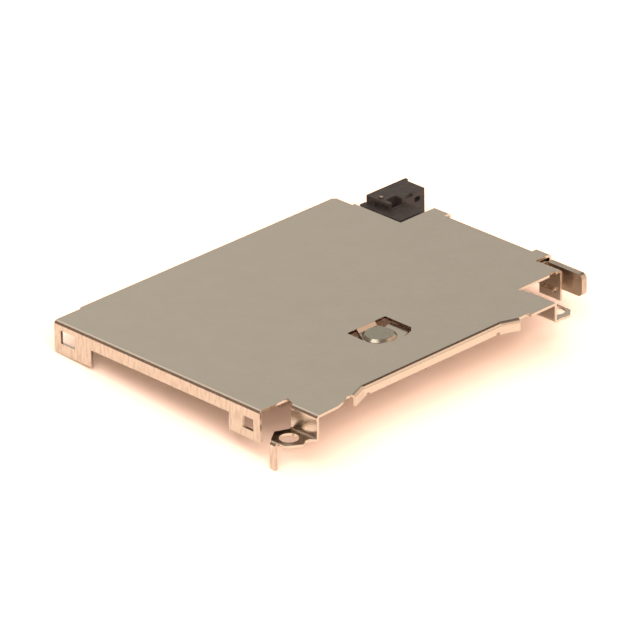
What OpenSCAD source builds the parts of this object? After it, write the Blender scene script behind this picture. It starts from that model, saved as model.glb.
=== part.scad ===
// Eject cover of a compact flash card connector: one folded sheet cover with its feet and
// solder pin, a push rod with a moulded button, and the lever that the rod swings.
// Frame: X runs from the card's entry edge to the header side, Y = 0 is the middle of
// the card slot, Z = 0 is the circuit board. All sizes are millimetres.

/* [Cover sheet] */
// Thickness of the cover's sheet
sheet_t = 0.35; // [0.3:0.05:0.4]
// Inside radius of the cover's bends
bend_r = 0.2; // [0.15:0.05:0.25]
// Height of the cover's top face above the board
cover_h = 4.2; // [4.1:0.05:4.4]
// Length from the entry edge to the header edge
cover_len = 40.8; // [40.6:0.1:41.4]
// Card slot middle to the near wall's outer face
near_wall_y = 25; // [24.8:0.1:25.6]
// Card slot middle to the cover's long far edge
far_edge_y = 28.85; // [28.6:0.05:29.1]

/* [Near wall] */
// End of the front leg along X
front_leg_end = 6.5; // [6:0.1:8]
// Length of the rear leg along X
rear_leg_len = 5.25; // [4.6:0.05:6.6]
// Depth of the strip that joins the two legs
strip_drop = 1.87; // [1.4:0.01:2.2]
// Length of the front leg's window
front_window_len = 2.5; // [2:0.1:2.8]
// Length of the rear leg's window
rear_window_len = 1.8; // [1.4:0.1:2.2]

/* [Lip] */
// Depth of the lip along the header edge
lip_drop = 1.3; // [1:0.05:1.5]
// How far the lip's ends flare outward
lip_flare = 0.9; // [0.6:0.1:1.1]

/* [Feet and pin] */
// Card slot middle to the outer face of the near foot's riser
near_riser_y = 21.25; // [21:0.05:21.5]
// Card slot middle to the outer face of the far foot's riser
far_riser_y = 20.65; // [20.4:0.05:20.9]
// Radius of the hole in a foot
foot_hole_r = 1.22; // [1:0.02:1.3]
// Reach of the near foot beyond its riser
near_foot_reach = 3.85; // [3.7:0.05:4.1]
// Reach of the far foot beyond its riser
far_foot_reach = 3.4; // [3.35:0.05:4.1]
// Height of the near foot's underside above the board
near_foot_lift = 0.8; // [0.4:0.05:1.2]
// Height of the far foot's underside above the board
far_foot_lift = 1.25; // [0.8:0.05:1.5]
// Width of the solder pin
pin_w = 0.95; // [0.8:0.05:1.1]
// Length of the solder pin below the board's top face
pin_len = 2.4; // [2:0.1:3.5]

/* [Push rod and button] */
// Thickness of the push rod
rod_t = 0.85; // [0.75:0.05:0.9]
// Height of the push rod
rod_h = 3; // [2.8:0.1:3.1]
// Reach of the pushed-in rod past the cover's far rear corner
rod_rear_out = 2.3; // [2.1:0.05:3]
// Gap between the rod and the side of its guides
rod_gap = 0.08; // [0.05:0.01:0.12]
// Length of the button's cap along X
cap_len = 3.7; // [3.5:0.1:4.2]
// Width of the button's cap
cap_w = 6.6; // [6.2:0.1:7]
// Travel of the rod from pushed in to drawn out
rod_travel = 6; // [4:0.5:6]

/* [Lever] */
// Thickness of the lever
lever_t = 0.6; // [0.5:0.05:0.7]
// Reach of the lever from its pivot to the drive pin
far_arm = 26.7; // [26.2:0.1:26.9]
// Reach of the lever from its pivot to the card pusher
near_arm = 18; // [16:0.5:19]
// Radius of the pivot stud
pivot_r = 1.2; // [1:0.05:1.4]
// Radial gap between a turning hole and its pin
turn_gap = 0.05; // [0.03:0.01:0.08]

/* [Hidden] */
$fn = 48;

sheet_color = "#a9a294";
rod_color = "#9c958a";
button_color = "#26262a";

// One bend takes this much of the height or reach on its outer side
bend_out = bend_r + sheet_t;
// How far each folded piece laps into the flat plate that it grows from
lap = 0.6;
// Underside of the flat plate
plate_under = cover_h - sheet_t;
// How far a cutting body runs past the sheet that it cuts
past = 1;

// Flat outline of the cover: entry edge, with a small step near its near end
entry_x = 0;
entry_step = 0.3;
entry_step_y = 20.7;
// Notches at the near rear corner, the far rear corner and around the button
near_notch_back = 5.2;
near_notch_x = cover_len - near_notch_back;
near_notch_y = 20.15;
far_notch_back = 5.95;
far_notch_x = cover_len - far_notch_back;
far_notch_cut = 0.4;
far_step_len = 4.05;
far_step_x = far_notch_x - far_step_len;
far_wall_y = 27.7;
button_notch = [11.0, 23.65];
far_leg_end = 2.9;
near_riser_fold_y = near_riser_y - bend_out;
far_riser_fold_y = far_riser_y - bend_out;
wall_fold_y = near_wall_y - bend_out;
far_fold_y = far_wall_y - bend_out;
far_leg_fold_y = button_notch[1] - bend_out;
corner_relief_r = 0.3;
corner_relief_x = 0.25;

// Windows of the two near legs: margin to the leg's end, depth of its top and its height
front_window = [1.15, 1.0, 1.73];
rear_window = [1.1, 1.47, 1.56];

// Lip along the header edge, between two relief cuts
lip_face_x = cover_len - 0.85;
lip_straight = [-11.9, 11.7];
flare_run = 2.3;
flare_drop = lip_drop + 0.2;
flare_angle = atan(lip_flare / flare_run);
flare_len = flare_run / cos(flare_angle);
flare_back = 0.3;
lip_notch = [0.4, 0.95, 0.25];
relief_x = cover_len - 0.45;
relief_outer = [-15.6, 15.9];
relief_chamfer = 0.3;
// Rear edge between the near foot and the lip: a flange that narrows toward the relief cut
near_flange_out = 0.6;
near_flange_taper = [[0.5, -1.95], [0.15, -0.85], [-0.2, -0.15]];

// Far rear wall, with a barb lanced from it
far_wall_inset = 0.5;
far_wall_x0 = far_step_x + far_wall_inset;
barb_x = [far_notch_x - 2.65, far_notch_x - 0.8];
barb_top = cover_h - 2.6;
barb_drop = 0.35;
barb_out = 0.45;
barb_slit = 0.4;

// Feet: riser, and the pad around the hole
near_riser_back = 3.8;
near_riser_x = [cover_len - near_riser_back, cover_len + near_flange_out];
far_riser_back = [4.4, 0.2];
far_riser_x = [for (b = far_riser_back) cover_len - b];
riser_spare = 0.4;
near_hole_back = 2.1;
near_hole_x = cover_len - near_hole_back;
far_hole_back = 2.3;
far_hole_x = cover_len - far_hole_back;
foot_hole_out = 1.97;
pad_half = 2.4;
pad_flat = 1.2;
pad_waist = 1.95;
pin_from_hole = 1;
pin_x0 = near_hole_x - pin_from_hole;
pin_inset = 0.15;

// Rod: its place across the cover, and its guides
rod_y0 = 28.8;
rod_y1 = rod_y0 + rod_t;
rod_top_gap = 0.15;
rod_z1 = plate_under - rod_top_gap;
rod_z0 = rod_z1 - rod_h;
rod_corner_r = 0.7;
rod_under_gap = 0.1;
guide_fold_y = rod_y1 + rod_gap - bend_r;
guide_drop = cover_h - (rod_z0 - rod_under_gap - sheet_t);
guide_under_len = rod_t + 2 * rod_gap - 2 * bend_r;
guide_lip = 0.5;
guide_1_x = [button_notch[0], button_notch[0] + 2.5];
guide_2_len = 2.2;
guide_2_x = [far_step_x - guide_2_len, far_step_x];

// Pivot of the lever, and the window in the plate around it
pane_from_edge = 9.95;
pane_mid = [cover_len - pane_from_edge, 0];
pivot_shift = [0.1, -0.25];
pivot = pane_mid + pivot_shift;
pane_back = -2.55;
pane_y = [-3.1, 3.4];
pane_front = [
    [0.8, -3.2], [2.25, -2.65], [2.9, -0.9], [2.95, 1.5], [2.6, 2.65], [1.9, 3.4]
];
tongue_drop = 0.45;
tongue_top = cover_h - tongue_drop;
tongue_under = plate_under - tongue_drop;
tongue_neck_y = [-1.5, 1.6];
tongue_head = [
    [0.4, -2.95], [2.05, -2.5], [2.35, -0.9], [2.35, 1.5], [2.1, 2.5], [1.6, 3.35], [-1.6, 3.35], [-1.1, 1.9]
];

// Lever: levels and rest angle
ear_gap = 0.15;
ear_z0 = rod_z1 - rod_t;
lever_z1 = ear_z0 - ear_gap;
lever_z0 = lever_z1 - lever_t;
lever_float = 0.05;
drive_offset = 1.15;
drive_x = pivot[0] - drive_offset;
rest_angle = asin(drive_offset / far_arm);
swing_angle = asin((drive_offset + rod_travel) / far_arm);
drive_y_rest = pivot[1] + far_arm * cos(rest_angle);
drive_y_out = pivot[1] + far_arm * cos(swing_angle);
drive_pin_r = 0.6;
drive_slot_gap = 0.1;
drive_top_gap = 0.2;

// Lever's outline and its pusher
lever_half = 1.9;
lever_tip_r = 1.5;
lever_hub_r = 3.2;
pusher_half = 1.6;
pusher_y = [-near_arm - pusher_half, pusher_half - near_arm];
pusher_drop = 1.9;
lever_bend_r = 0.3;

// Pivot stud, from the rivet head in the window down to the head under the lever
stud_rivet_r = 2.15;
stud_rivet_h = 0.36;
stud_rivet_edge = [0.38, 0.33];
stud_neck_r = 0.9;
stud_neck_gap = 0.03;
stud_collar_r = 2.0;
stud_head_r = 1.9;
stud_head_h = 0.4;
drive_head_r = 1.1;
drive_head_h = 0.3;

// Ear of the rod, which carries the slot for the drive pin
slot_spare = 0.15;
slot_r = drive_pin_r + drive_slot_gap;
ear_rim = 0.8;
ear_x = [drive_x - slot_r - ear_rim, drive_x + slot_r + ear_rim];
ear_reach_y = drive_y_out - slot_spare - slot_r - ear_rim;
ear_bend_r = 0.3;

// Tang at the rod's front end, and the hook that the button is moulded around
rod_front_x = button_notch[0] - 0.2;
rod_rear_x = far_notch_x + rod_rear_out;
tang_x0 = 3.1;
tang_z = [rod_z0 + 0.2, rod_z1 - 1];
tang_gap = 0.05;
hook_x = [4.15, 5.0];
hook_y0 = 26.5;
hook_top = cover_h + 0.1;
tooth_x = [4.3, 4.7];
tooth_y = [26.6, 27];

// Button: a cap with a front face that stands out at its far end, and a low deck around it
cap_x0 = 2.75;
cap_x1 = cap_x0 + cap_len;
cap_y0 = 26.1;
cap_y1 = cap_y0 + cap_w;
cap_z0 = rod_z0 - 0.4;
cap_z1 = cover_h + 0.27;
tooth_rise = 0.2;
cap_edge_r = 0.15;
cap_corner_r = 0.25;
face_x = [cap_x0 - 0.35, cap_x0 + 0.35];
face_rim = 0.45;
deck_x = [face_x[0] - 0.3, button_notch[0] - 1.8];
deck_y0 = button_notch[1] + 1.7;
deck_z1 = cover_h - 0.9;
// Recesses in the button: one over the deck and three at the rear face
deck_slot_x0 = 3.9;
deck_slot_deep = 0.3;
deck_slot_h = 0.75;
pocket_x = [5.25, 6.25];
pocket_y = [26.7, 28.5];
pocket_lip_z = cap_z1 - 0.9;
pocket_z0 = 1.5;
small_notch_y = [29.2, 30.4];
small_notch_deep = [0.3, 0.4];
rear_hole_y = [30.75, 31.7];
rear_hole_deep = [0.6, 0.7, 1.4];

// Quarter ring of a bend, its centre below the strip's end
module bend_arc(t, r) {
    intersection() {
        difference() {
            circle(r + t);
            circle(r);
        }
        square([r + t, r + t]);
    }
}

// Section of a folded strip: path is a list of [straight length, turn], where turn is
// -1 for a bend down and 1 for a bend up. The strip starts at the origin, along +X,
// with its lower face on the X axis.
module fold(path, t = sheet_t, r = bend_r, k = 0) {
    run = path[k][0];
    turn = path[k][1];
    if (run > 0) square([run, t]);
    if (k < len(path) - 1) translate([run, 0]) {
        if (turn < 0) {
            translate([0, -r]) {
                bend_arc(t, r);
                rotate(-90) translate([0, r]) fold(path, t, r, k + 1);
            }
        } else {
            translate([0, t + r]) {
                mirror([0, 1]) bend_arc(t, r);
                rotate(90) translate([0, -t - r]) fold(path, t, r, k + 1);
            }
        }
    }
}

// Runs a section along X from x[0] to x[1], with the section's X toward +Y
module along_x(x, y, z) {
    translate([x[0], y, z]) rotate([90, 0, 90]) linear_extrude(x[1] - x[0]) children();
}

// Runs a section along Y from y[0] to y[1], with the section's X toward +X
module along_y(y, x, z) {
    translate([x, y[1], z]) rotate([90, 0, 0]) linear_extrude(y[1] - y[0]) children();
}

module box(x, y, z) {
    translate([x[0], y[0], z[0]]) cube([x[1] - x[0], y[1] - y[0], z[1] - z[0]]);
}

// Slot with round ends along Y
module slot_y(x, y, r) {
    translate([x - r, y[0]]) square([2 * r, y[1] - y[0]]);
    for (cy = y) translate([x, cy]) circle(r);
}

// Section of a wall that bends down from the plate and ends drop below its top face
module wall_section(drop) {
    translate([-lap, 0]) fold([[lap, -1], [drop - bend_out, 0]]);
}

// Section of a riser and foot: down from the plate, then out level
module foot_section(drop, reach) {
    translate([-lap, 0]) fold([[lap, -1], [drop - 2 * bend_out, 1], [reach - bend_r, 0]]);
}

// Section of a rod guide: over the rod, down its outer side, under it and up again
module guide_section() {
    translate([-lap, 0]) fold([
        [lap, -1],
        [guide_drop - 2 * bend_out, -1],
        [guide_under_len, -1],
        [guide_lip, 0]
    ]);
}

// Outline of the flat plate, up to where its folds start
module plate_outline() {
    lip_fold_x = lip_face_x - bend_out;
    flare_x = lip_fold_x + lip_flare - lap / 4;
    flare_y = [lip_straight[0] - flare_run, lip_straight[1] + flare_run];
    polygon([
        [entry_x, -wall_fold_y],
        [near_notch_x, -wall_fold_y],
        [near_notch_x, -near_notch_y],
        [near_riser_x[0] - riser_spare, -near_riser_fold_y],
        [near_riser_x[1], -near_riser_fold_y],
        for (p = near_flange_taper) [cover_len + p[0], relief_outer[0] + p[1]],
        [relief_x, relief_outer[0] + relief_chamfer],
        [relief_x, flare_y[0]],
        [flare_x, flare_y[0]],
        [lip_fold_x, lip_straight[0]],
        [lip_fold_x, lip_straight[1]],
        [flare_x, flare_y[1]],
        [relief_x, flare_y[1]],
        [relief_x, relief_outer[1]],
        [cover_len, relief_outer[1]],
        [cover_len, far_riser_fold_y],
        [far_notch_x, far_riser_fold_y],
        [far_notch_x, far_fold_y - 2 * bend_out - lap],
        [far_notch_x - far_notch_cut, far_fold_y - 2 * bend_out],
        [far_notch_x - far_notch_cut, far_fold_y],
        [far_step_x, far_fold_y],
        [far_step_x, guide_fold_y],
        [guide_2_x[0], guide_fold_y],
        [guide_2_x[0], far_edge_y],
        [guide_1_x[1], far_edge_y],
        [guide_1_x[1], guide_fold_y],
        [guide_1_x[0], guide_fold_y],
        [button_notch[0], button_notch[1]],
        [entry_x + far_leg_end, button_notch[1]],
        [entry_x + far_leg_end, far_leg_fold_y],
        [entry_x, far_leg_fold_y],
        [entry_x - entry_step, far_leg_fold_y - entry_step],
        [entry_x - entry_step, entry_step - entry_step_y],
        [entry_x, -entry_step_y]
    ]);
}

// Window of the plate: three straight sides, and a header side bulged around the stud
module pane_outline() {
    translate(pane_mid) polygon(concat(
        [[pane_back, pane_y[1]], [pane_back, pane_y[0]]],
        pane_front
    ));
}

// Tongue of the window seen from above: a neck, then a head that nearly fills the window
module tongue_outline() {
    translate(pane_mid) polygon(concat(
        [
            [pane_back + tongue_drop, tongue_neck_y[1]],
            [pane_back - lap, tongue_neck_y[1]],
            [pane_back - lap, tongue_neck_y[0]],
            [pane_back + tongue_drop, tongue_neck_y[0]]
        ],
        tongue_head
    ));
}

// Tongue from the side: level with the plate, down a short ramp, then level again
module tongue() {
    x_root = pane_mid[0] + pane_back;
    x_end = pane_mid[0] - pane_back;
    difference() {
        intersection() {
            along_y(pane_y, 0, 0) polygon([
                [x_root - lap, cover_h],
                [x_root, cover_h],
                [x_root + tongue_drop, tongue_top],
                [x_end, tongue_top],
                [x_end, tongue_under],
                [x_root + tongue_drop - sheet_t / 2, tongue_under],
                [x_root - sheet_t / 2, plate_under],
                [x_root - lap, plate_under]
            ]);
            linear_extrude(cover_h + past) tongue_outline();
        }
        translate([pivot[0], pivot[1], 0]) cylinder(r = stud_neck_r + stud_neck_gap, h = cover_h + past);
    }
}

// Section of a flared wall, its bend drawn in four flats
module flare_section(drop) {
    flats = 4;
    low = bend_out - bend_r - drop;
    arc = [for (i = [0:flats]) [sin(90 * i / flats), cos(90 * i / flats)]];
    polygon(concat(
        [[-lap, 0], [-lap, sheet_t]],
        [for (i = [0:flats]) bend_out * arc[i] - [0, bend_r]],
        [[bend_out, low], [bend_r, low]],
        [for (i = [flats:-1:0]) bend_r * arc[i] - [0, bend_r]]
    ));
}

// Flared end of the lip, which leaves the straight run at y0 toward +Y
module lip_end(y0) {
    translate([lip_face_x, y0, plate_under]) rotate([0, 0, -flare_angle])
        along_y([-flare_back, flare_len], -bend_out, 0) flare_section(flare_drop);
}

// Lip that stiffens the header edge: a straight folded run and two flared ends
module lip() {
    difference() {
        union() {
            along_y(lip_straight, lip_face_x - bend_out, plate_under) wall_section(lip_drop);
            lip_end(lip_straight[1]);
            mirror([0, 1, 0]) lip_end(-lip_straight[0]);
        }
        for (y = [[lip_straight[0] + lip_notch[0], lip_straight[0] + lip_notch[1]],
                  [lip_straight[1] - lip_notch[1], lip_straight[1] - lip_notch[0]]])
            box([lip_face_x - past, lip_face_x + past], y,
                [cover_h - flare_drop - past, cover_h - lip_drop + lip_notch[2]]);
    }
}

// Window of a near leg, as seen from the side: x is its start along X
module leg_window(x, length, shape) {
    top = cover_h - shape[1];
    box([x, x + length], [-near_wall_y - past, past - near_wall_y], [top - shape[2], top]);
}

// Near wall: a strip with a windowed leg at each end
module near_wall() {
    difference() {
        mirror([0, 1, 0]) along_x([entry_x, near_notch_x], wall_fold_y, plate_under)
            wall_section(cover_h);
        box([front_leg_end, near_notch_x - rear_leg_len], [-near_wall_y - past, past - near_wall_y],
            [-past, cover_h - strip_drop]);
        leg_window(front_window[0], front_window_len, front_window);
        leg_window(near_notch_x - rear_window[0] - rear_window_len, rear_window_len, rear_window);
    }
}

// Far rear wall, with a barb lanced toward its inner side over the slit that it left
module far_rear_wall() {
    inner_y = far_wall_y - sheet_t;
    difference() {
        along_x([far_wall_x0, far_notch_x], far_fold_y, plate_under) wall_section(cover_h);
        box(barb_x, [inner_y - past, far_wall_y + past], [barb_top - barb_drop - barb_slit, barb_top - barb_drop]);
    }
    along_x(barb_x, inner_y, barb_top) polygon([
        [sheet_t / 2, sheet_t / 2],
        [0, 0],
        [-barb_out, -barb_drop],
        [-barb_out, -barb_drop - sheet_t / 2],
        [0, -barb_drop],
        [sheet_t / 2, -barb_drop]
    ]);
}

// A foot seen from above: X from the middle of its hole, Y from its riser outward
module foot_outline(riser, reach) {
    polygon([
        [riser[0], -lap - bend_out],
        [riser[1], -lap - bend_out],
        [riser[1], bend_r / 2],
        [pad_waist, bend_r + 0.35],
        [pad_waist, foot_hole_out - 0.75],
        [pad_half, foot_hole_out - 0.1],
        [pad_half, foot_hole_out + 0.1],
        [pad_flat, reach],
        [-pad_flat, reach],
        [-pad_half, foot_hole_out + 0.1],
        [-pad_half, foot_hole_out - 0.1],
        [riser[0], bend_r + 0.1]
    ]);
}

// Riser and foot, folded toward +Y, the hole bored through
module foot(hole_x, riser, riser_y, reach, drop) {
    difference() {
        intersection() {
            along_x([hole_x - pad_half, riser[1]], riser_y - bend_out, plate_under)
                foot_section(drop, reach);
            translate([hole_x, riser_y, 0]) linear_extrude(cover_h + past)
                foot_outline([riser[0] - hole_x, riser[1] - hole_x], reach);
        }
        translate([hole_x, riser_y + foot_hole_out, -past]) cylinder(r = foot_hole_r, h = cover_h);
    }
}

// Solder pin, bent down from the near foot's outer end
module solder_pin() {
    mirror([0, 1, 0]) along_x([pin_x0, pin_x0 + pin_w], near_riser_y + near_foot_reach - pin_inset, near_foot_lift)
        wall_section(sheet_t + near_foot_lift + pin_len);
}

// Cover: one sheet, cut and folded, with everything above in one solid
module cover() {
    color(sheet_color) {
        translate([0, 0, plate_under]) linear_extrude(sheet_t) difference() {
            plate_outline();
            pane_outline();
            translate([far_notch_x + corner_relief_x, far_riser_fold_y]) circle(corner_relief_r);
        }
        tongue();
        lip();
        near_wall();
        along_x([entry_x, far_leg_end], far_leg_fold_y, plate_under) wall_section(cover_h);
        far_rear_wall();
        for (x = [guide_1_x, guide_2_x]) along_x(x, guide_fold_y, plate_under) guide_section();
        mirror([0, 1, 0])
            foot(near_hole_x, near_riser_x, near_riser_y, near_foot_reach, cover_h - near_foot_lift);
        foot(far_hole_x, far_riser_x, far_riser_y, far_foot_reach, cover_h - far_foot_lift);
        solder_pin();
    }
}

// Push rod: a flat bar on edge, with an ear and a hook folded from its top edge
module push_rod() {
    color(rod_color) {
        translate([0, rod_y1, 0]) rotate([90, 0, 0]) linear_extrude(rod_t) {
            difference() {
                translate([rod_front_x, rod_z0]) square([rod_rear_x - rod_front_x, rod_h]);
                for (z = [rod_z0, rod_z1 - rod_corner_r])
                    translate([rod_rear_x - rod_corner_r, z]) square(rod_corner_r);
                translate([ear_x[0], ear_z0 - ear_bend_r])
                    square([ear_x[1] - ear_x[0], rod_t + ear_bend_r]);
            }
            for (z = [rod_z0 + rod_corner_r, rod_z1 - rod_corner_r])
                translate([rod_rear_x - rod_corner_r, z]) circle(rod_corner_r);
            translate([tang_x0, tang_z[0]]) square([rod_front_x - tang_x0, tang_z[1] - tang_z[0]]);
        }
        rod_ear();
        rod_hook();
    }
}

// The ear, with a slot that lets the drive pin shift as the lever swings
module rod_ear() {
    difference() {
        along_x(ear_x, ear_reach_y, ear_z0)
            fold([[rod_y0 - ear_bend_r - ear_reach_y, -1], [0, 0]], rod_t, ear_bend_r);
        translate([0, 0, ear_z0 - past]) linear_extrude(rod_t + 2 * past)
            slot_y(drive_x, [drive_y_out - slot_spare, drive_y_rest + slot_spare], slot_r);
    }
}

// The hook stands on the tang and is folded over inside the button's cap. A tooth at its
// tip comes out through the cap's top.
module rod_hook() {
    along_x(hook_x, hook_y0, hook_top - rod_t) fold([
        [rod_y0 - ear_bend_r - hook_y0, -1],
        [hook_top - rod_t - ear_bend_r - tang_z[0], 0]
    ], rod_t, ear_bend_r);
    box(tooth_x, tooth_y, [hook_top - lap, cap_z1 + tooth_rise]);
}

// Room that the button leaves around the rod's tang and hook, open at the rod's outer side
module tang_room() {
    gap = tang_gap;
    box([tang_x0 - gap, rod_front_x], [rod_y0 - gap, rod_y1 + gap], [tang_z[0] - gap, tang_z[1] + gap]);
    box([hook_x[0] - gap, hook_x[1] + gap], [hook_y0 - gap, rod_y1 + gap],
        [hook_top - rod_t - gap, hook_top + gap]);
    box([hook_x[0] - gap, hook_x[1] + gap], [rod_y0 - ear_bend_r - gap, rod_y1 + gap],
        [tang_z[0] - gap, hook_top]);
    box([tooth_x[0] - gap, tooth_x[1] + gap], [tooth_y[0] - gap, tooth_y[1] + gap], [hook_top, cap_z1 + past]);
}

// Rectangle with four round corners, from its X and Y spans
module rounded(x, y, r) {
    translate([x[0] + r, y[0]]) square([x[1] - x[0] - 2 * r, y[1] - y[0]]);
    translate([x[0], y[0] + r]) square([x[1] - x[0], y[1] - y[0] - 2 * r]);
    for (cx = [x[0] + r, x[1] - r], cy = [y[0] + r, y[1] - r]) translate([cx, cy]) circle(r);
}

// Side profile of the cap: the round edges along its top, square below
module cap_profile() {
    x = [face_x[0], cap_x1];
    rounded(x, [cap_z0, cap_z1], cap_edge_r);
    translate([x[0], cap_z0]) square([x[1] - x[0], cap_z1 - cap_z0 - cap_edge_r]);
}

// Cap seen from above, with its front face longer than the rest toward the far side
module cap_outline() {
    rounded([face_x[0], cap_x1], [cap_y0, cap_y1], cap_corner_r);
    rounded(face_x, [cap_y0, cap_y1 + face_rim], cap_corner_r);
}

// Low deck seen from above: it runs in front of the cap and back beneath the notch's edge
module deck_outline() {
    polygon([
        [deck_x[0], deck_y0],
        [deck_x[1], deck_y0],
        [deck_x[1], rod_y1],
        [cap_x0, rod_y1],
        [cap_x0, cap_y0 + cap_corner_r],
        [deck_x[0], cap_y0 + cap_corner_r]
    ]);
}

// Button: its cap is the side profile trimmed by the outline, and the deck is one slab
module eject_button() {
    color(button_color) difference() {
        union() {
            intersection() {
                along_y([cap_y0, cap_y1 + face_rim], 0, 0) cap_profile();
                linear_extrude(cap_z1) cap_outline();
            }
            translate([0, 0, cap_z0]) linear_extrude(deck_z1 - cap_z0) deck_outline();
        }
        tang_room();
        box([deck_slot_x0, cap_x1 + past], [cap_y0 - past, cap_y0 + deck_slot_deep],
            [deck_z1, deck_z1 + deck_slot_h]);
        box([pocket_x[0], cap_x1 + past], pocket_y, [pocket_lip_z, cap_z1 + past]);
        box(pocket_x, pocket_y, [pocket_z0, pocket_lip_z]);
        box([cap_x1 - small_notch_deep[0], cap_x1 + past], small_notch_y,
            [cap_z1 - small_notch_deep[1], cap_z1 + past]);
        box([cap_x1 - rear_hole_deep[0], cap_x1 + past], rear_hole_y,
            [cap_z1 - rear_hole_deep[2], cap_z1 - rear_hole_deep[1]]);
    }
}

// Lever: a flat bar on its pivot, with a pusher folded down for the card's edge
module eject_lever() {
    color(rod_color) translate([pivot[0], pivot[1], 0]) rotate([0, 0, rest_angle]) {
        translate([0, 0, lever_z0]) linear_extrude(lever_t) difference() {
            union() {
                polygon([
                    [-lever_half, pusher_y[0]],
                    [lever_half, pusher_y[0]],
                    [lever_half, 0],
                    [lever_tip_r, far_arm],
                    [-lever_tip_r, far_arm],
                    [-lever_half, 0]
                ]);
                circle(lever_hub_r);
                translate([0, far_arm]) circle(lever_tip_r);
            }
            circle(pivot_r + turn_gap);
            translate([0, far_arm]) circle(drive_pin_r);
        }
        mirror([1, 0, 0]) along_y(pusher_y, lever_half - lap, lever_z0)
            fold([[lap, -1], [pusher_drop, 0]], lever_t, lever_bend_r);
    }
}

// Pivot stud: riveted through the tongue from below, its lower end headed over the lever
module pivot_stud() {
    head_z = lever_z0 - lever_float;
    collar_z = lever_z1 + lever_float;
    rivet_z1 = tongue_top + stud_rivet_h;
    color(rod_color) translate([pivot[0], pivot[1], 0]) rotate_extrude() polygon([
        [0, head_z - stud_head_h],
        [stud_head_r, head_z - stud_head_h],
        [stud_head_r, head_z],
        [pivot_r, head_z],
        [pivot_r, collar_z],
        [stud_collar_r, collar_z],
        [stud_collar_r, tongue_under],
        [stud_neck_r, tongue_under],
        [stud_neck_r, tongue_top],
        [stud_rivet_r, tongue_top],
        [stud_rivet_r, rivet_z1 - stud_rivet_edge[1]],
        [stud_rivet_r - stud_rivet_edge[0], rivet_z1],
        [0, rivet_z1]
    ]);
}

// Drive pin: riveted in the lever's far end, it stands in the slot of the rod's ear
module drive_pin() {
    color(rod_color) translate([pivot[0], pivot[1], 0]) rotate([0, 0, rest_angle])
        translate([0, far_arm, 0]) rotate_extrude() polygon([
            [0, lever_z0 - drive_head_h],
            [drive_head_r, lever_z0 - drive_head_h],
            [drive_head_r, lever_z0],
            [drive_pin_r, lever_z0],
            [drive_pin_r, plate_under - drive_top_gap],
            [0, plate_under - drive_top_gap]
        ]);
}

cover();
push_rod();
eject_button();
eject_lever();
pivot_stud();
drive_pin();
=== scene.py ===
# %% [markdown]
# # The eject cover of a compact flash card connector
# The object is one thin sheet of metal, cut and folded into a low cover. A push rod runs
# along its far side, a black moulded button sits on the rod's front end, and the rod
# swings a lever that hides under the cover. All of these solids come finished from the
# CAD model, true to size. This lesson gives them their finish: how rolled sheet, tumbled
# steel, a turned rivet and moulded plastic are told apart by their grain, edges and gloss.

# %% Load the model
import math

import bpy
import numpy as np
from mathutils import Matrix, Vector


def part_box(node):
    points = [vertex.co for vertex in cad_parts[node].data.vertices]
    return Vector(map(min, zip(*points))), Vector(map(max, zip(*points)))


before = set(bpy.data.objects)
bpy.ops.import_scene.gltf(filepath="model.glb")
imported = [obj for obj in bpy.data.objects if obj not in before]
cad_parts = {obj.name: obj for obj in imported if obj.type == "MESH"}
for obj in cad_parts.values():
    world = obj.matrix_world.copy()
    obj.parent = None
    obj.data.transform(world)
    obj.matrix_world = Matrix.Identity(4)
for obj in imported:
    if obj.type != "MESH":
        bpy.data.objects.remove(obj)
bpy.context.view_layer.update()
scene = bpy.context.scene
MM = 0.001

for node_name in sorted(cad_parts):
    low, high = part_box(node_name)
    print(node_name, "spans", [round((b - a) / MM, 2) for a, b in zip(low, high)], "mm")

# %% [markdown]
# ## The camera
# The photograph was taken from far away with a long lens, so parallel edges stay nearly
# parallel. A camera could be dragged about by eye until the outline fits. Here it is
# worked out instead: a point that it looks at, two angles round that point, a small
# roll, and a distance. They came from the corners of the flat plate, whose real places
# are known, and they can be read and changed one at a time.

# %% Camera
LOOK_AT = Vector((0.02329, -0.00272, 0.00415))
CAMERA_DISTANCE = 0.7962
AZIMUTH, ELEVATION, ROLL = (math.radians(a) for a in (45.60, 25.97, -0.93))
LENS_MM = 370.4
SENSOR_MM = 36.0
NEAREST_SEEN = 0.05


def camera_axes(azimuth, elevation, roll):
    """Right, up and backward of a camera. Backward points from the target to the camera:
    (sin a cos e, -cos a cos e, sin e). Right lies level before the roll turns it."""
    backward = Vector((math.sin(azimuth) * math.cos(elevation),
                       -math.cos(azimuth) * math.cos(elevation),
                       math.sin(elevation)))
    level_right = Vector((math.cos(azimuth), math.sin(azimuth), 0))
    level_up = backward.cross(level_right)
    right = math.cos(roll) * level_right + math.sin(roll) * level_up
    up = math.cos(roll) * level_up - math.sin(roll) * level_right
    return right, up, backward


def add_camera():
    """Stands the camera at its distance along backward, turned by its three axes."""
    right, up, backward = camera_axes(AZIMUTH, ELEVATION, ROLL)
    lens = bpy.data.cameras.new("photo_camera")
    lens.sensor_width = SENSOR_MM
    lens.lens = LENS_MM
    lens.clip_start = NEAREST_SEEN
    camera = bpy.data.objects.new("photo_camera", lens)
    camera.location = LOOK_AT + CAMERA_DISTANCE * backward
    camera.rotation_euler = Matrix((right, up, backward)).transposed().to_euler()
    scene.collection.objects.link(camera)
    scene.camera = camera
    return camera


camera = add_camera()
print("camera at", [round(v, 4) for v in camera.location])

# %% [markdown]
# ## The floor
# The cover doesn't lie level: its solder pin reaches below the other feet, so it rests on
# the pin's tip and on the lower ends of its two front legs. Three points make a plane, and
# the floor is that plane, laid 0.05 mm lower so that nothing cuts into it. It could be a
# tilted plane object. A flat grid worked out from the plane's two slopes needs no turning.

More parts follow.
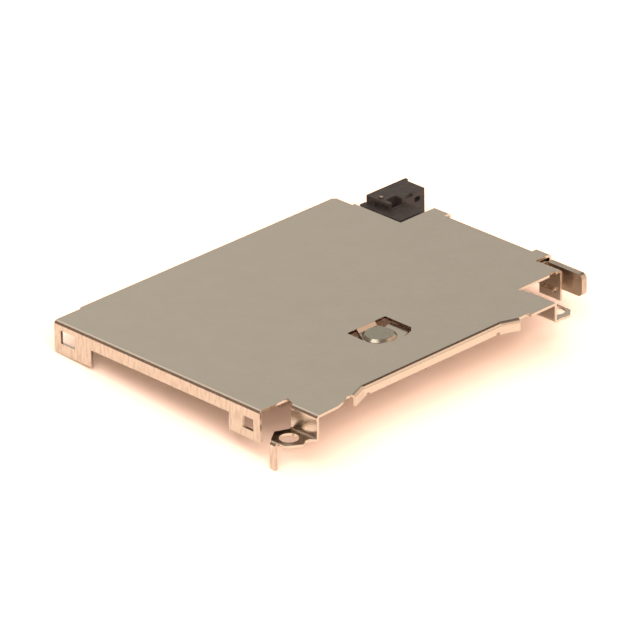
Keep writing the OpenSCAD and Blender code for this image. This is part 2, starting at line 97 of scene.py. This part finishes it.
# %% Floor plane
PIN_TIP = np.array((0.0382, -0.0254, -0.00245))
NEAR_LEG_END = np.array((0.0, -0.025, -0.00005))
FAR_LEG_END = np.array((0.0, 0.0237, -0.00005))
FLOOR_REACH = 2.5


def plane_through(a, b, c):
    """Slopes and height (sx, sy, h) with z = sx x + sy y + h through three points, from
    three linear equations."""
    rows = np.array([a, b, c])
    return np.linalg.solve(np.column_stack((rows[:, 0], rows[:, 1], np.ones(3))), rows[:, 2])


def floor_grid(plane, reach, count=9):
    """A square grid on z = sx x + sy y + h: the corners of a (count x count) lattice in
    x and y, and the four corner numbers of each cell."""
    line = np.linspace(-reach, reach, count)
    x, y = np.meshgrid(line, line, indexing="ij")
    z = plane[0] * x + plane[1] * y + plane[2]
    points = np.stack((x, y, z), axis=-1).reshape(-1, 3)
    index = np.arange(count * count).reshape(count, count)
    faces = np.stack((index[:-1, :-1], index[1:, :-1], index[1:, 1:], index[:-1, 1:]), axis=-1)
    return points, faces.reshape(-1, 4)


def mesh_from_arrays(name, points, faces):
    """A mesh whose places and faces are whole arrays."""
    mesh = bpy.data.meshes.new(name)
    mesh.from_pydata(points.tolist(), [], faces.tolist())
    mesh.validate()
    piece = bpy.data.objects.new(name, mesh)
    scene.collection.objects.link(piece)
    return piece


floor_plane = plane_through(PIN_TIP, NEAR_LEG_END, FAR_LEG_END)
floor = mesh_from_arrays("floor", *floor_grid(floor_plane, FLOOR_REACH))
print("floor falls", round(math.degrees(math.atan(math.hypot(*floor_plane[:2]))), 2), "degrees")

# %% [markdown]
# ## Laying nodes
# A finish is a graph of nodes. Placing each node by hand takes many lines, so small helpers
# do it: one adds a node and fills its inputs, and the others give a sum, a vector step, a
# part of a vector, a smooth step or a mix of two colours. A value that is the same all over
# a surface is set on its socket.

# %% Helpers for nodes
def fill_input(tree, socket, value):
    """Joins the socket to another node's socket, or sets its own value."""
    if isinstance(value, bpy.types.NodeSocket):
        tree.links.new(value, socket)
    else:
        socket.default_value = value


def add_node(tree, kind, settings=None, **sockets):
    """A node of that kind, with its settings and its inputs. Underscores stand for spaces,
    and input0, input1 and so on are inputs by their number."""
    node = tree.nodes.new("ShaderNode" + kind)
    for key, value in (settings or {}).items():
        setattr(node, key, value)
    for key, value in sockets.items():
        name = key.replace("_", " ")
        socket = node.inputs[int(name[5:])] if name.startswith("input") else node.inputs[name]
        fill_input(tree, socket, value)
    return node


def math_node(tree, operation, a, b=0.0):
    """The value of a sum, product or other step of one or two numbers or sockets."""
    return add_node(tree, "Math", {"operation": operation}, input0=a, input1=b).outputs[0]


def vector_node(tree, operation, a, b=(0, 0, 0)):
    """A step of two vectors. Its outputs are Vector, and Value for a length or a product."""
    return add_node(tree, "VectorMath", {"operation": operation}, input0=a, input1=b).outputs


def part_of(tree, vector, axis):
    """The X, Y or Z of a vector."""
    return add_node(tree, "SeparateXYZ", Vector=vector).outputs[axis]


def ramp(tree, value, low, high, start=0.0, end=1.0):
    """Goes smoothly from start to end while value goes from low to high."""
    step = add_node(tree, "MapRange", {"interpolation_type": "SMOOTHSTEP"},
                    Value=value, From_Min=low, From_Max=high, To_Min=start, To_Max=end)
    return step.outputs["Result"]


# Noise seldom leaves these ranges. The narrow one gives more contrast.
NOISE = (0.30, 0.70)
NOISE_NARROW = (0.35, 0.65)


def mix_colour(tree, share, first, second):
    """First where share is 0, second where it is 1. Colours are inputs 6 and 7 of a Mix."""
    node = add_node(tree, "Mix", {"data_type": "RGBA"}, input0=share, input6=first, input7=second)
    return node.outputs[2]


print("helpers ready:", [helper.__name__ for helper in (add_node, math_node, vector_node, ramp)])

# %% [markdown]
# ## Node groups
# Grain and worn edges show on more than one finish. Copying their nodes into each material
# would work, but a change would have to be made everywhere. A node group is built once and
# is placed in each material with its own values.

# %% Helpers for node groups
def new_group(name, inputs, outputs):
    """An empty node group with named sockets, and its two end nodes."""
    tree = bpy.data.node_groups.new(name, "ShaderNodeTree")
    for title, kind, value in inputs:
        socket = tree.interface.new_socket(title, in_out="INPUT", socket_type="NodeSocket" + kind)
        if value is not None:
            socket.default_value = value
    for title, kind in outputs:
        tree.interface.new_socket(title, in_out="OUTPUT", socket_type="NodeSocket" + kind)
    return tree, tree.nodes.new("NodeGroupInput"), tree.nodes.new("NodeGroupOutput")


def place_group(tree, group, **sockets):
    """Puts a node group into a material, with its own values."""
    node = tree.nodes.new("ShaderNodeGroup")
    node.node_tree = group
    for key, value in sockets.items():
        fill_input(tree, node.inputs[key.replace("_", " ")], value)
    return node


def tell_group(group):
    """Prints what a group puts out."""
    ends = group.nodes["Group Output"].inputs
    print("group", group.name, "gives", [socket.name for socket in ends if socket.name])


# %% [markdown]
# ## Grain left by the rolls
# Sheet metal is squeezed between steel rolls, which print their own ground surface into
# it: fine lines that run the way the strip ran. An image of brushed metal would blur this
# close up. Noise that is stretched along the lines stays sharp at any distance. The same
# group also gives slow patches, where the strip was a little more or less polished.

# %% Group for rolled grain
def make_grain_group():
    """Lines: noise of (x / length, y / width, z / width). Patches: noise of (x, y, z) /
    patch size. Places are in millimetres."""
    tree, start, end = new_group(
        "rolled grain",
        [("Place", "Vector", None), ("Line length", "Float", 3.0), ("Line width", "Float", 0.06),
         ("Patch size", "Float", 5.0)],
        [("Lines", "Float"), ("Patches", "Float")])
    long_step = math_node(tree, "DIVIDE", 1.0, start.outputs["Line length"])
    fine_step = math_node(tree, "DIVIDE", 1.0, start.outputs["Line width"])
    stretch = add_node(tree, "CombineXYZ", X=long_step, Y=fine_step, Z=fine_step).outputs[0]
    stretched = vector_node(tree, "MULTIPLY", start.outputs["Place"], stretch)["Vector"]
    lines = add_node(tree, "TexNoise", Vector=stretched, Scale=1.0, Detail=2.0, Roughness=0.6)
    wide_step = math_node(tree, "DIVIDE", 1.0, start.outputs["Patch size"])
    patches = add_node(tree, "TexNoise", Vector=start.outputs["Place"], Scale=wide_step,
                       Detail=3.0, Roughness=0.55)
    tree.links.new(lines.outputs[0], end.inputs["Lines"])
    tree.links.new(patches.outputs[0], end.inputs["Patches"])
    return tree


rolled_grain = make_grain_group()
tell_group(rolled_grain)

# %% [markdown]
# ## Worn edges
# An edge that is handled loses its bite: it turns round over a few hundredths of a
# millimetre and is rubbed brighter than the face beside it. A Bevel modifier would do it
# with geometry, but on cut sheet it would need thousands of slivers. The Bevel node asks
# instead how far the surface turns within a small radius. The angle between that answer
# and the face is the wear, and noise breaks it up so that it doesn't look drawn.

# %% Group for worn edges
WEAR_STARTS = 0.995
WEAR_IS_FULL = 0.80
LEAST_WEAR = 0.45


def make_wear_group():
    """Wear: a ramp of the dot product of the rounded normal and the face's normal, times a
    noise that thins it in places. Normal: the rounded normal itself."""
    tree, start, end = new_group(
        "worn edges",
        [("Place", "Vector", None), ("Radius", "Float", 0.06 * MM), ("Gap size", "Float", 0.5)],
        [("Wear", "Float"), ("Normal", "Vector")])
    rounded = add_node(tree, "Bevel", {"samples": 8}, Radius=start.outputs["Radius"]).outputs[0]
    face = tree.nodes.new("ShaderNodeNewGeometry").outputs["True Normal"]
    likeness = vector_node(tree, "DOT_PRODUCT", rounded, face)["Value"]
    turned = ramp(tree, likeness, WEAR_STARTS, WEAR_IS_FULL)
    step = math_node(tree, "DIVIDE", 1.0, start.outputs["Gap size"])
    noise = add_node(tree, "TexNoise", Vector=start.outputs["Place"], Scale=step, Detail=3.0)
    kept = ramp(tree, noise.outputs[0], 0.30, 0.60, LEAST_WEAR, 1.0)
    tree.links.new(math_node(tree, "MULTIPLY", turned, kept), end.inputs["Wear"])
    tree.links.new(rounded, end.inputs["Normal"])
    return tree


worn_edges = make_wear_group()
tell_group(worn_edges)

# %% [markdown]
# ## A finish to start from
# Each finish begins the same way: a Principled shader, and the surface's own place in
# millimetres. The place is Object coordinates times a thousand, so that a grain size can
# be written as the real one and stays fixed to the piece when the piece moves.

# %% Start of a material
def start_finish(name, metallic, roughness):
    """A material with its tree, its shader and its place in millimetres. The roughness is
    the middle one, for a program that reads no nodes: each finish joins its own."""
    material = bpy.data.materials.new(name)
    material.use_nodes = True
    tree = material.node_tree
    shader = tree.nodes["Principled BSDF"]
    shader.inputs["Metallic"].default_value = metallic
    shader.inputs["Roughness"].default_value = roughness
    coordinates = tree.nodes.new("ShaderNodeTexCoord").outputs["Object"]
    place = add_node(tree, "Mapping", Vector=coordinates, Scale=(1 / MM, 1 / MM, 1 / MM)).outputs[0]
    return material, tree, shader, place


def raise_surface(tree, shader, height, normal, depth_mm):
    """Bump from a height between 0 and 1 that stands for depth_mm, over a rounded normal."""
    bump = add_node(tree, "Bump", Strength=1.0, Distance=depth_mm * MM, Height=height, Normal=normal)
    tree.links.new(bump.outputs[0], shader.inputs["Normal"])


print("a place is read in steps of", MM, "m")

# %% [markdown]
# ## Marks on the sheet
# Two things tell the cover's faces apart. The die that bent the near wall drew brown streaks
# down it, and the cut edges of the window round the pivot are darkened with painted shade,
# which stands in for the dark that they mirror and the shadow inside the window. A painted
# image would need a layout of its own for them. Masks that read where a point lies and which
# way its face looks stay fixed to the metal instead. The window's slanted ramp gets only half
# as much painted shade as its upright edges.

# %% Marks on the sheet
NEAR_WALL_Y = -25.0
STREAKS_START, STREAKS_FULL = 0.2, 0.05
STREAK_WIDTH, STREAK_HEIGHT = 0.35, 1.6
STREAKY_NOISE = (0.42, 0.66)
PANE_MIDDLE = (30.85, 0.0, 0.0)
PANE_REACH = 4.1
WINDOW_SHADE_FADE = 0.2
FLAT_RISE, STEEP_RISE = 0.9, 0.5


def drawn_streaks(tree, place):
    """1 in the streaks of the near wall: noise of (x / width, z / height), kept where y lies
    on the wall's outer face."""
    y = part_of(tree, place, "Y")
    on_wall = ramp(tree, y, NEAR_WALL_Y + STREAKS_START, NEAR_WALL_Y + STREAKS_FULL)
    stretched = vector_node(tree, "MULTIPLY", place, (1 / STREAK_WIDTH, 0.0, 1 / STREAK_HEIGHT))
    noise = add_node(tree, "TexNoise", Vector=stretched["Vector"], Scale=1.0, Detail=3.0, Roughness=0.6)
    return math_node(tree, "MULTIPLY", on_wall, ramp(tree, noise.outputs[0], *STREAKY_NOISE))


# Painted shade, not grease: darkens the window's cut edges and ramp for the dark they mirror and the
# shadow in the window.
def window_painted_shade(tree, place):
    """1 on the upright edges of the window, and half on its slanted ramp: the distance from
    the window's middle is small, and the up part of the face's normal is small too."""
    flat = vector_node(tree, "MULTIPLY", place, (1, 1, 0))["Vector"]
    away = vector_node(tree, "DISTANCE", flat, PANE_MIDDLE)["Value"]
    normal = tree.nodes.new("ShaderNodeNewGeometry").outputs["True Normal"]
    rise = math_node(tree, "ABSOLUTE", part_of(tree, normal, "Z"))
    steep = ramp(tree, rise, FLAT_RISE, STEEP_RISE)
    near = ramp(tree, away, PANE_REACH, PANE_REACH - WINDOW_SHADE_FADE)
    return math_node(tree, "MULTIPLY", steep, near)


# The window's edges carry painted shade, not grease, out to PANE_REACH from its middle.
print("window's edges are greased up to", PANE_REACH, "mm from", PANE_MIDDLE)

# %% [markdown]
# ## Rolled sheet
# The cover is satin strip of a warm grey alloy. Its flat top looks calm and even, because
# every part of it mirrors the same far backdrop. Its walls are much brighter, because they
# mirror the floor. So one metal does for all of it, and its gloss has to be right: clear
# enough that the riser shows the foot below it, rough enough that the top stays flat in
# tone. Colour shifts a little between patches, and the lines of the rolls change the gloss
# more than the colour. The marks are laid over that, and the worn edges come last.

# %% Sheet finish
SHEET_COLOUR = (0.650, 0.572, 0.480, 1)
SHEET_DULL = (0.625, 0.549, 0.459, 1)
SHEET_DRAWN = (0.520, 0.425, 0.345, 1)
# Painted shade for the window's cut edges and ramp, not grease.
SHEET_PAINTED_SHADE = (0.26, 0.18, 0.145, 1)
SHEET_BRIGHT = (0.74, 0.67, 0.58, 1)
SHEET_WEAR = 0.7
SHEET_LINES = 0.25
SHEET_ROUGHNESS = (0.15, 0.21)
MOTTLE_ROUGHNESS = 0.04
PATCH_SHARE, MOTTLE_SHARE = 0.4, 0.6
LINE_HEIGHT = 0.35


def sheet_colour(tree, place, grain, mottle, wear):
    """From dull to plain with the patches, then the streaks and the painted shade of the window's
    edges, then a quarter of the way to bright with the lines, and most of the way with the wear."""
    patchy = math_node(tree, "ADD", math_node(tree, "MULTIPLY", grain.outputs["Patches"], PATCH_SHARE),
                       math_node(tree, "MULTIPLY", mottle.outputs[0], MOTTLE_SHARE))
    base = mix_colour(tree, ramp(tree, patchy, 0.40, 0.60), SHEET_DULL, SHEET_COLOUR)
    base = mix_colour(tree, drawn_streaks(tree, place), base, SHEET_DRAWN)
    # Painted shade on the window's cut edges and ramp.
    base = mix_colour(tree, window_painted_shade(tree, place), base, SHEET_PAINTED_SHADE)
    lines = ramp(tree, grain.outputs["Lines"], 0.35, 0.75, 0.0, SHEET_LINES)
    base = mix_colour(tree, lines, base, SHEET_BRIGHT)
    rubbed = math_node(tree, "MULTIPLY", wear.outputs["Wear"], SHEET_WEAR)
    return mix_colour(tree, rubbed, base, SHEET_BRIGHT)


def make_sheet_finish():
    """Roughness goes through its range with the lines, and up a little with the mottle. The
    height is the mottle and a part of the lines."""
    material, tree, shader, place = start_finish("satin sheet", metallic=1.0, roughness=0.20)
    grain = place_group(tree, rolled_grain, Place=place, Line_length=2.4, Line_width=0.05,
                        Patch_size=3.5)
    mottle = add_node(tree, "TexNoise", Vector=place, Scale=2.2, Detail=4.0, Roughness=0.65)
    wear = place_group(tree, worn_edges, Place=place, Radius=0.05 * MM, Gap_size=0.6)
    tree.links.new(sheet_colour(tree, place, grain, mottle, wear), shader.inputs["Base Color"])
    gloss = math_node(tree, "ADD", ramp(tree, grain.outputs["Lines"], *NOISE, *SHEET_ROUGHNESS),
                      ramp(tree, mottle.outputs[0], *NOISE_NARROW, 0.0, MOTTLE_ROUGHNESS))
    tree.links.new(gloss, shader.inputs["Roughness"])
    lines = math_node(tree, "MULTIPLY", grain.outputs["Lines"], LINE_HEIGHT)
    height = math_node(tree, "ADD", lines, mottle.outputs[0])
    raise_surface(tree, shader, height, wear.outputs["Normal"], depth_mm=0.004)
    return material


satin_sheet = make_sheet_finish()
print("finish", satin_sheet.name, "has", len(satin_sheet.node_tree.nodes), "nodes")

# %% [markdown]
# ## Tumbled steel
# The push rod and the lever were blanked from thicker strip, then tumbled with stones to
# take off the burrs. That leaves softer edges, a slightly browner and duller face, and
# small dents that point nowhere in particular. The lever's near end shows in a notch of the
# cover, and the photograph is dark there. So that end is painted dark as painted shade of the
# cover above it, which is a guess, and the rod has no such end.

# %% Rod finish
ROD_COLOUR = (0.62, 0.53, 0.44, 1)
ROD_PATCH = (0.50, 0.42, 0.345, 1)
ROD_EDGE = (0.78, 0.68, 0.57, 1)
# Painted shade, not oil: the colour of the lever's near end, which lies in the cover's shadow.
LEVER_PAINTED_SHADE = (0.20, 0.145, 0.115, 1)
ROD_WEAR = 0.8
DENT_ROUGHNESS = (0.36, 0.28)
ROD_LINE_ROUGHNESS = 0.06
ROD_LINE_HEIGHT = 0.3
LEVER_SHADE_Y = -13.0
NO_SHADE_Y = -100.0
LEVER_SHADE_FADE = 1.5


def make_rod_finish(name, shade_y):
    """Dents are cells of a Voronoi pattern, deepest at their middles. The end painted dark, as
    painted shade, is where y is less than the limit passed in, in millimetres, and it fades in
    over a fixed length."""
    material, tree, shader, place = start_finish(name, metallic=1.0, roughness=0.32)
    grain = place_group(tree, rolled_grain, Place=place, Line_length=1.2, Line_width=0.05,
                        Patch_size=2.0)
    cells = add_node(tree, "TexVoronoi", {"feature": "SMOOTH_F1"}, Vector=place, Scale=5.0,
                     Smoothness=0.4)
    dents = ramp(tree, cells.outputs["Distance"], 0.1, 0.5)
    wear = place_group(tree, worn_edges, Place=place, Radius=0.10 * MM, Gap_size=0.4)
    patches = ramp(tree, grain.outputs["Patches"], *NOISE_NARROW)
    base = mix_colour(tree, patches, ROD_PATCH, ROD_COLOUR)
    # Painted shade on the lever's near end.
    shaded_end = ramp(tree, part_of(tree, place, "Y"), shade_y, shade_y - LEVER_SHADE_FADE)
    base = mix_colour(tree, shaded_end, base, LEVER_PAINTED_SHADE)
    rubbed = math_node(tree, "MULTIPLY", wear.outputs["Wear"], ROD_WEAR)
    tree.links.new(mix_colour(tree, rubbed, base, ROD_EDGE), shader.inputs["Base Color"])
    gloss = math_node(tree, "ADD", ramp(tree, dents, 0.0, 1.0, *DENT_ROUGHNESS),
                      ramp(tree, grain.outputs["Lines"], *NOISE, 0.0, ROD_LINE_ROUGHNESS))
    tree.links.new(gloss, shader.inputs["Roughness"])
    lines = math_node(tree, "MULTIPLY", grain.outputs["Lines"], ROD_LINE_HEIGHT)
    height = math_node(tree, "ADD", dents, lines)
    raise_surface(tree, shader, height, wear.outputs["Normal"], depth_mm=0.006)
    return material


rod_steel = make_rod_finish("tumbled steel", NO_SHADE_Y)
lever_steel = make_rod_finish("lever steel with painted shade", LEVER_SHADE_Y)
print("finishes", rod_steel.name, "and", lever_steel.name)

# %% [markdown]
# ## Turned and spun steel
# The pivot stud and the drive pin were turned on a lathe, and their heads were spun over.
# A cutting tool leaves rings round the axis. A ring pattern needs the distance from that
# axis, so the place is first moved until the axis is its zero, and then only x and y count.

# %% Stud finish
STUD_COLOUR = (0.45, 0.41, 0.33, 1)
STUD_RING = (0.38, 0.345, 0.275, 1)
STUD_EDGE = (0.62, 0.57, 0.48, 1)
RING_PITCH = 0.07
STUD_ROUGHNESS = (0.18, 0.28)
FAINTEST_RING = 0.2


def axis_of(node_name):
    """x and y of the middle of a round piece that stands upright."""
    low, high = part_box(node_name)
    return (low[0] + high[0]) / 2, (low[1] + high[1]) / 2


def make_stud_finish(name, axis_x, axis_y):
    """Rings: sine of 2 pi r / pitch, with r the distance from the axis at (axis_x, axis_y)."""
    material, tree, shader, place = start_finish(name, metallic=1.0, roughness=0.24)
    centred = vector_node(tree, "SUBTRACT", place, (axis_x / MM, axis_y / MM, 0))["Vector"]
    flat = vector_node(tree, "MULTIPLY", centred, (1, 1, 0))["Vector"]
    radius = vector_node(tree, "LENGTH", flat)["Value"]
    rings = math_node(tree, "SINE", math_node(tree, "MULTIPLY", radius, 2 * math.pi / RING_PITCH))
    uneven = add_node(tree, "TexNoise", Vector=place, Scale=3.0, Detail=3.0).outputs[0]
    share = math_node(tree, "MULTIPLY", ramp(tree, rings, -1.0, 1.0),
                      ramp(tree, uneven, *NOISE, FAINTEST_RING, 1.0))
    wear = place_group(tree, worn_edges, Place=place, Radius=0.08 * MM, Gap_size=0.5)
    base = mix_colour(tree, share, STUD_COLOUR, STUD_RING)
    worn = mix_colour(tree, wear.outputs["Wear"], base, STUD_EDGE)
    tree.links.new(worn, shader.inputs["Base Color"])
    tree.links.new(ramp(tree, uneven, *NOISE, *STUD_ROUGHNESS), shader.inputs["Roughness"])
    raise_surface(tree, shader, share, wear.outputs["Normal"], depth_mm=0.0012)
    return material


stud_steel = make_stud_finish("spun stud", *axis_of("pivot_stud"))
pin_steel = make_stud_finish("turned pin", *axis_of("drive_pin"))
print("rings lie", RING_PITCH, "mm apart on", stud_steel.name, "and", pin_steel.name)

# %% [markdown]
# ## Moulded plastic
# The button is black plastic from a mould whose walls were spark eroded, which prints a
# fine, even roughness. Under a soft light it isn't black but a dark warm grey, a little
# paler where fingers have rubbed its edges. A sheen or a clear coat would make it look
# wet, so one dull shader with a fine grain is used.

# %% Button finish
PLASTIC_COLOUR = (0.042, 0.035, 0.032, 1)
PLASTIC_PALE = (0.060, 0.049, 0.044, 1)
PLASTIC_EDGE = (0.12, 0.108, 0.098, 1)
PLASTIC_WEAR = 0.6
SPARK_ROUGHNESS = (0.62, 0.46)


def make_plastic_finish():
    """Spark grain: fine noise, whose hills are smoother than its valleys. The colour goes from
    plain to pale with slow clouds of noise, and to the edges' colour with the wear."""
    material, tree, shader, place = start_finish("moulded plastic", metallic=0.0, roughness=0.52)
    shader.inputs["Specular IOR Level"].default_value = 0.4
    spark = add_node(tree, "TexNoise", Vector=place, Scale=14.0, Detail=3.0, Roughness=0.6).outputs[0]
    cloud = add_node(tree, "TexNoise", Vector=place, Scale=1.1, Detail=4.0, Roughness=0.6).outputs[0]
    wear = place_group(tree, worn_edges, Place=place, Radius=0.12 * MM, Gap_size=0.5)
    base = mix_colour(tree, ramp(tree, cloud, *NOISE_NARROW), PLASTIC_COLOUR, PLASTIC_PALE)
    rubbed = math_node(tree, "MULTIPLY", wear.outputs["Wear"], PLASTIC_WEAR)
    tree.links.new(mix_colour(tree, rubbed, base, PLASTIC_EDGE), shader.inputs["Base Color"])
    tree.links.new(ramp(tree, spark, *NOISE_NARROW, *SPARK_ROUGHNESS), shader.inputs["Roughness"])
    raise_surface(tree, shader, spark, wear.outputs["Normal"], depth_mm=0.012)
    return material


black_plastic = make_plastic_finish()
print("finish", black_plastic.name, "has", len(black_plastic.node_tree.nodes), "nodes")

# %% [markdown]
# ## Giving the solids their finish
# Every solid of the CAD model keeps its shape. Only the material in its slot is changed,
# so the finish can be swapped again later without touching the model.

# %% Dress the solids
def dress(node_name, material):
    """Puts the material into every slot of a CAD solid."""
    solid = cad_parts[node_name]
    for slot in solid.material_slots:
        slot.material = material
    print(node_name, "wears", material.name)


dress("cover", satin_sheet)
dress("push_rod", rod_steel)
dress("eject_lever", lever_steel)
dress("pivot_stud", stud_steel)
dress("drive_pin", pin_steel)
dress("eject_button", black_plastic)

# %% [markdown]
# ## Floor and backdrop
# The photograph is bright: its paper is pure white wherever light reaches it, and only the
# ground under the cover turns peach and then brown. Flooding the scene with light would
# do that too, but it would also bleach the object. Instead the floor's own colour is
# strong where the camera or a mirror looks at it, and plain paper where it lights the
# object. Light Path tells them apart. A mirror counts only first-hand: where light has
# already bounced off a dull surface, the floor is plain again, so that the metal throws no
# strong colour on to the ground. The floor still takes the object's shadow.

# %% Floor finish
PAPER_SEEN = (1.98, 1.50, 1.27, 1)
PAPER_MIRRORED = (1.50, 1.27, 1.13, 1)
PAPER_PLAIN = (0.86, 0.82, 0.78, 1)
NO_BOUNCE_YET = 0.5


def make_floor_finish():
    """A dull diffuse sheet whose colour depends on the kind of ray that meets it."""
    material = bpy.data.materials.new("paper floor")
    material.use_nodes = True
    tree = material.node_tree
    tree.nodes.remove(tree.nodes["Principled BSDF"])
    path = tree.nodes.new("ShaderNodeLightPath").outputs
    mirrored = math_node(tree, "MAXIMUM", path["Is Glossy Ray"], path["Is Transmission Ray"])
    first_hand = math_node(tree, "LESS_THAN", path["Diffuse Depth"], NO_BOUNCE_YET)
    mirrored = math_node(tree, "MULTIPLY", mirrored, first_hand)
    colour = mix_colour(tree, mirrored, PAPER_PLAIN, PAPER_MIRRORED)
    colour = mix_colour(tree, path["Is Camera Ray"], colour, PAPER_SEEN)
    paper = add_node(tree, "BsdfDiffuse", Color=colour)
    tree.links.new(paper.outputs[0], tree.nodes["Material Output"].inputs["Surface"])
    return material


paper_floor = make_floor_finish()
floor.data.materials.append(paper_floor)
print("the floor wears", paper_floor.name)

# %% [markdown]
# ## The room
# Metal shows its room. The flat top mirrors the backdrop behind and to the left. The near
# fold turns from the top to the wall, so it mirrors first a light panel on the left, then
# the dark front of the room, then the floor: a light line with a dark line under it. The
# lip's fold turns the other way, and mirrors the dim rear and then the bright right side.
# The dark brown ceiling keeps the light from above off the folds. An image of a real room
# would do this too, but it couldn't be changed one part at a time. Here the world is made
# from the direction of each ray alone, with one part of the room laid over the next.
# Two parts are seen by mirrors only, as if they were small and far off: a window in front,
# which glints on the rivet's rim, and a plain patch of backdrop right overhead, without
# which the top would look dark brown from above. The camera sees white, and dull surfaces
# get a little less light from the room, so that the shadow under the cover stays deep.

# %% World
OPEN_SIDE = (0.95, 0.75, 0.60, 1)
BACKDROP = (0.580, 0.550, 0.500, 1)
BACKDROP_LEFT = (0.675, 0.65, 0.595, 1)
DARK_FRONT = (0.30, 0.215, 0.175, 1)
BRIGHT_SIDE = (1.30, 1.00, 0.80, 1)
DIM_REAR = (0.12, 0.075, 0.055, 1)
LOW_REAR = (1.10, 0.80, 0.62, 1)
CEILING = (0.24, 0.175, 0.14, 1)
LEFT_PANEL = (1.05, 0.97, 0.87, 1)
FRONT_WINDOW = (2.90, 2.80, 2.70, 1)
PLAIN_WHITE = (1, 1, 1, 1)
SKY_ON_DULL = 0.7

# Each part: the direction that it lies in, the likeness to that direction at which it starts
# and at which it is full, and its colour. A later part covers an earlier one.
ROOM_PARTS = (
    ((-0.7, 0.7, 0.1), -0.25, 0.35, BACKDROP),
    ((-0.80, 0.47, 0.37), 0.955, 0.985, BACKDROP_LEFT),
    ((-0.66, -0.66, 0.36), 0.55, 0.8, DARK_FRONT),
    ((0.62, 0.55, 0.56), 0.87, 0.93, BRIGHT_SIDE),
    ((-0.1, 0.62, 0.77), 0.90, 0.95, DIM_REAR),
    ((0.15, 0.93, 0.36), 0.90, 0.97, LOW_REAR),
    ((0, 0, 1), 0.80, 0.92, CEILING),
    ((-0.64, 0.07, 0.76), 0.93, 0.98, LEFT_PANEL),
)
MIRRORED_PARTS = (
    ((-0.05, -0.50, 0.86), 0.945, 0.965, FRONT_WINDOW),
    ((0, 0, 1), 0.93, 0.97, BACKDROP),
)


def toward(tree, view, direction, starts, is_full):
    """1 where the ray points along direction, 0 far from it: a ramp of their likeness, which
    is the dot product of two unit vectors."""
    unit = tuple(Vector(direction).normalized())
    return ramp(tree, vector_node(tree, "DOT_PRODUCT", view, unit)["Value"], starts, is_full)


def make_room():
    """The open side, with ROOM_PARTS and then MIRRORED_PARTS laid over it by direction. The
    strength is 1, and SKY_ON_DULL for a ray that comes from a dull surface."""
    world = bpy.data.worlds.new("studio")
    world.use_nodes = True
    tree = world.node_tree
    view = tree.nodes.new("ShaderNodeTexCoord").outputs["Generated"]
    path = tree.nodes.new("ShaderNodeLightPath").outputs
    room = OPEN_SIDE
    for direction, starts, is_full, colour in ROOM_PARTS:
        room = mix_colour(tree, toward(tree, view, direction, starts, is_full), room, colour)
    for direction, starts, is_full, colour in MIRRORED_PARTS:
        share = toward(tree, view, direction, starts, is_full)
        mirrored = math_node(tree, "MULTIPLY", path["Is Glossy Ray"], share)
        room = mix_colour(tree, mirrored, room, colour)
    seen = mix_colour(tree, path["Is Camera Ray"], room, PLAIN_WHITE)
    background = tree.nodes["Background"]
    tree.links.new(seen, background.inputs["Color"])
    strength = ramp(tree, path["Is Diffuse Ray"], 0.0, 1.0, 1.0, SKY_ON_DULL)
    tree.links.new(strength, background.inputs["Strength"])
    return world


scene.world = make_room()
print("the room has", len(ROOM_PARTS), "parts, and", len(MIRRORED_PARTS), "for mirrors only")

# %% [markdown]
# ## Lamps
# Two large soft lamps light the dull surfaces: the key lamp from almost overhead, so that
# the shadow falls under and round the object, and the side lamp from just above the camera.
# Their size, not their strength, makes the shadow's edge soft. Metal doesn't mirror them,
# because the key lamp would bleach the flat top when it is seen from above. What metal
# mirrors is the room and the floor.

# %% Lamps
LAMP_DISTANCE = 0.9
LAMP_SIZE = 0.80
LAMP_COLOUR = (1.0, 0.97, 0.94)


def add_soft_lamp(name, direction, watts):
    """A square lamp that looks at the object from direction, and that metal doesn't mirror."""
    lamp = bpy.data.lights.new(name, "AREA")
    lamp.shape = "SQUARE"
    lamp.size = LAMP_SIZE
    lamp.energy = watts
    lamp.color = LAMP_COLOUR
    stand = bpy.data.objects.new(name, lamp)
    stand.location = LOOK_AT + LAMP_DISTANCE * Vector(direction).normalized()
    stand.rotation_euler = Vector(direction).to_track_quat("Z", "Y").to_euler()
    stand.visible_glossy = False
    scene.collection.objects.link(stand)
    print(name, "gives", watts, "W at", [round(v, 3) for v in stand.location])


add_soft_lamp("key_lamp", (-0.12, -0.10, 0.98), watts=3.3)
add_soft_lamp("side_lamp", (0.60, -0.45, 0.66), watts=4.2)

# %% [markdown]
# ## The view transform
# The view transform is Standard, so that a colour comes out as it is written.

# %% Finish
scene.view_settings.view_transform = "Standard"
